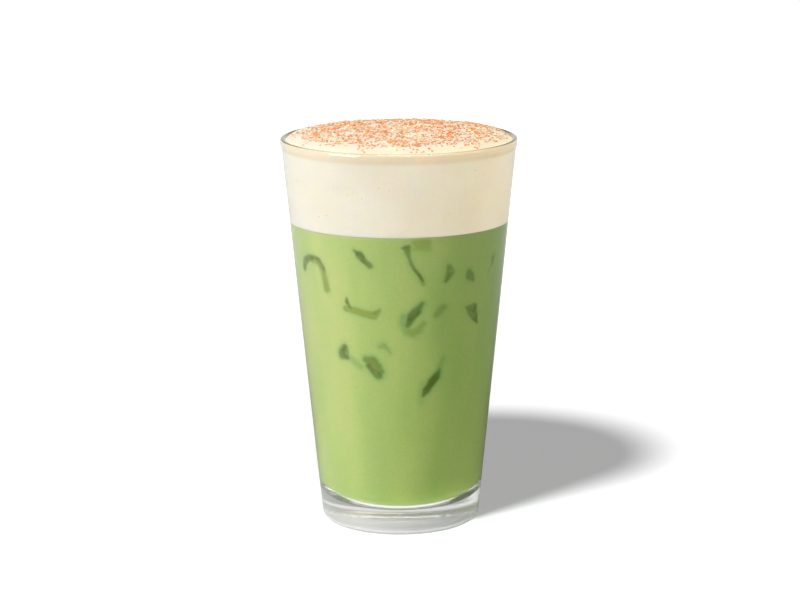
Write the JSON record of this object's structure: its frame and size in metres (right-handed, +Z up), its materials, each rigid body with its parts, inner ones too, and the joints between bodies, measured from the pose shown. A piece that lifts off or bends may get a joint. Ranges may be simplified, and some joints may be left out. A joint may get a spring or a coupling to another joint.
{
  "type": "iced matcha latte",
  "caption": "Iced matcha latte in a tall tapered pint glass: green matcha milk with sunken ice under a thick cap of cream foam dusted with cinnamon.",
  "frame": {"origin": "centre of the foot ring, on the plane the glass stands on", "axes": "+Z up along the axis of the glass, from the foot to the foam; the glass is round, so +X and +Y are free"},
  "size_m": [0.0888, 0.0888, 0.1495],
  "materials": {
    "glass": "clear, fire polished",
    "matcha_milk": "opaque green milk",
    "cream_foam": "smooth whipped cream foam"
  },
  "bodies": {
    "root": {"glass": "glass", "matcha_milk": "matcha_milk", "cream_foam": "cream_foam"}
  },
  "joints": []
}
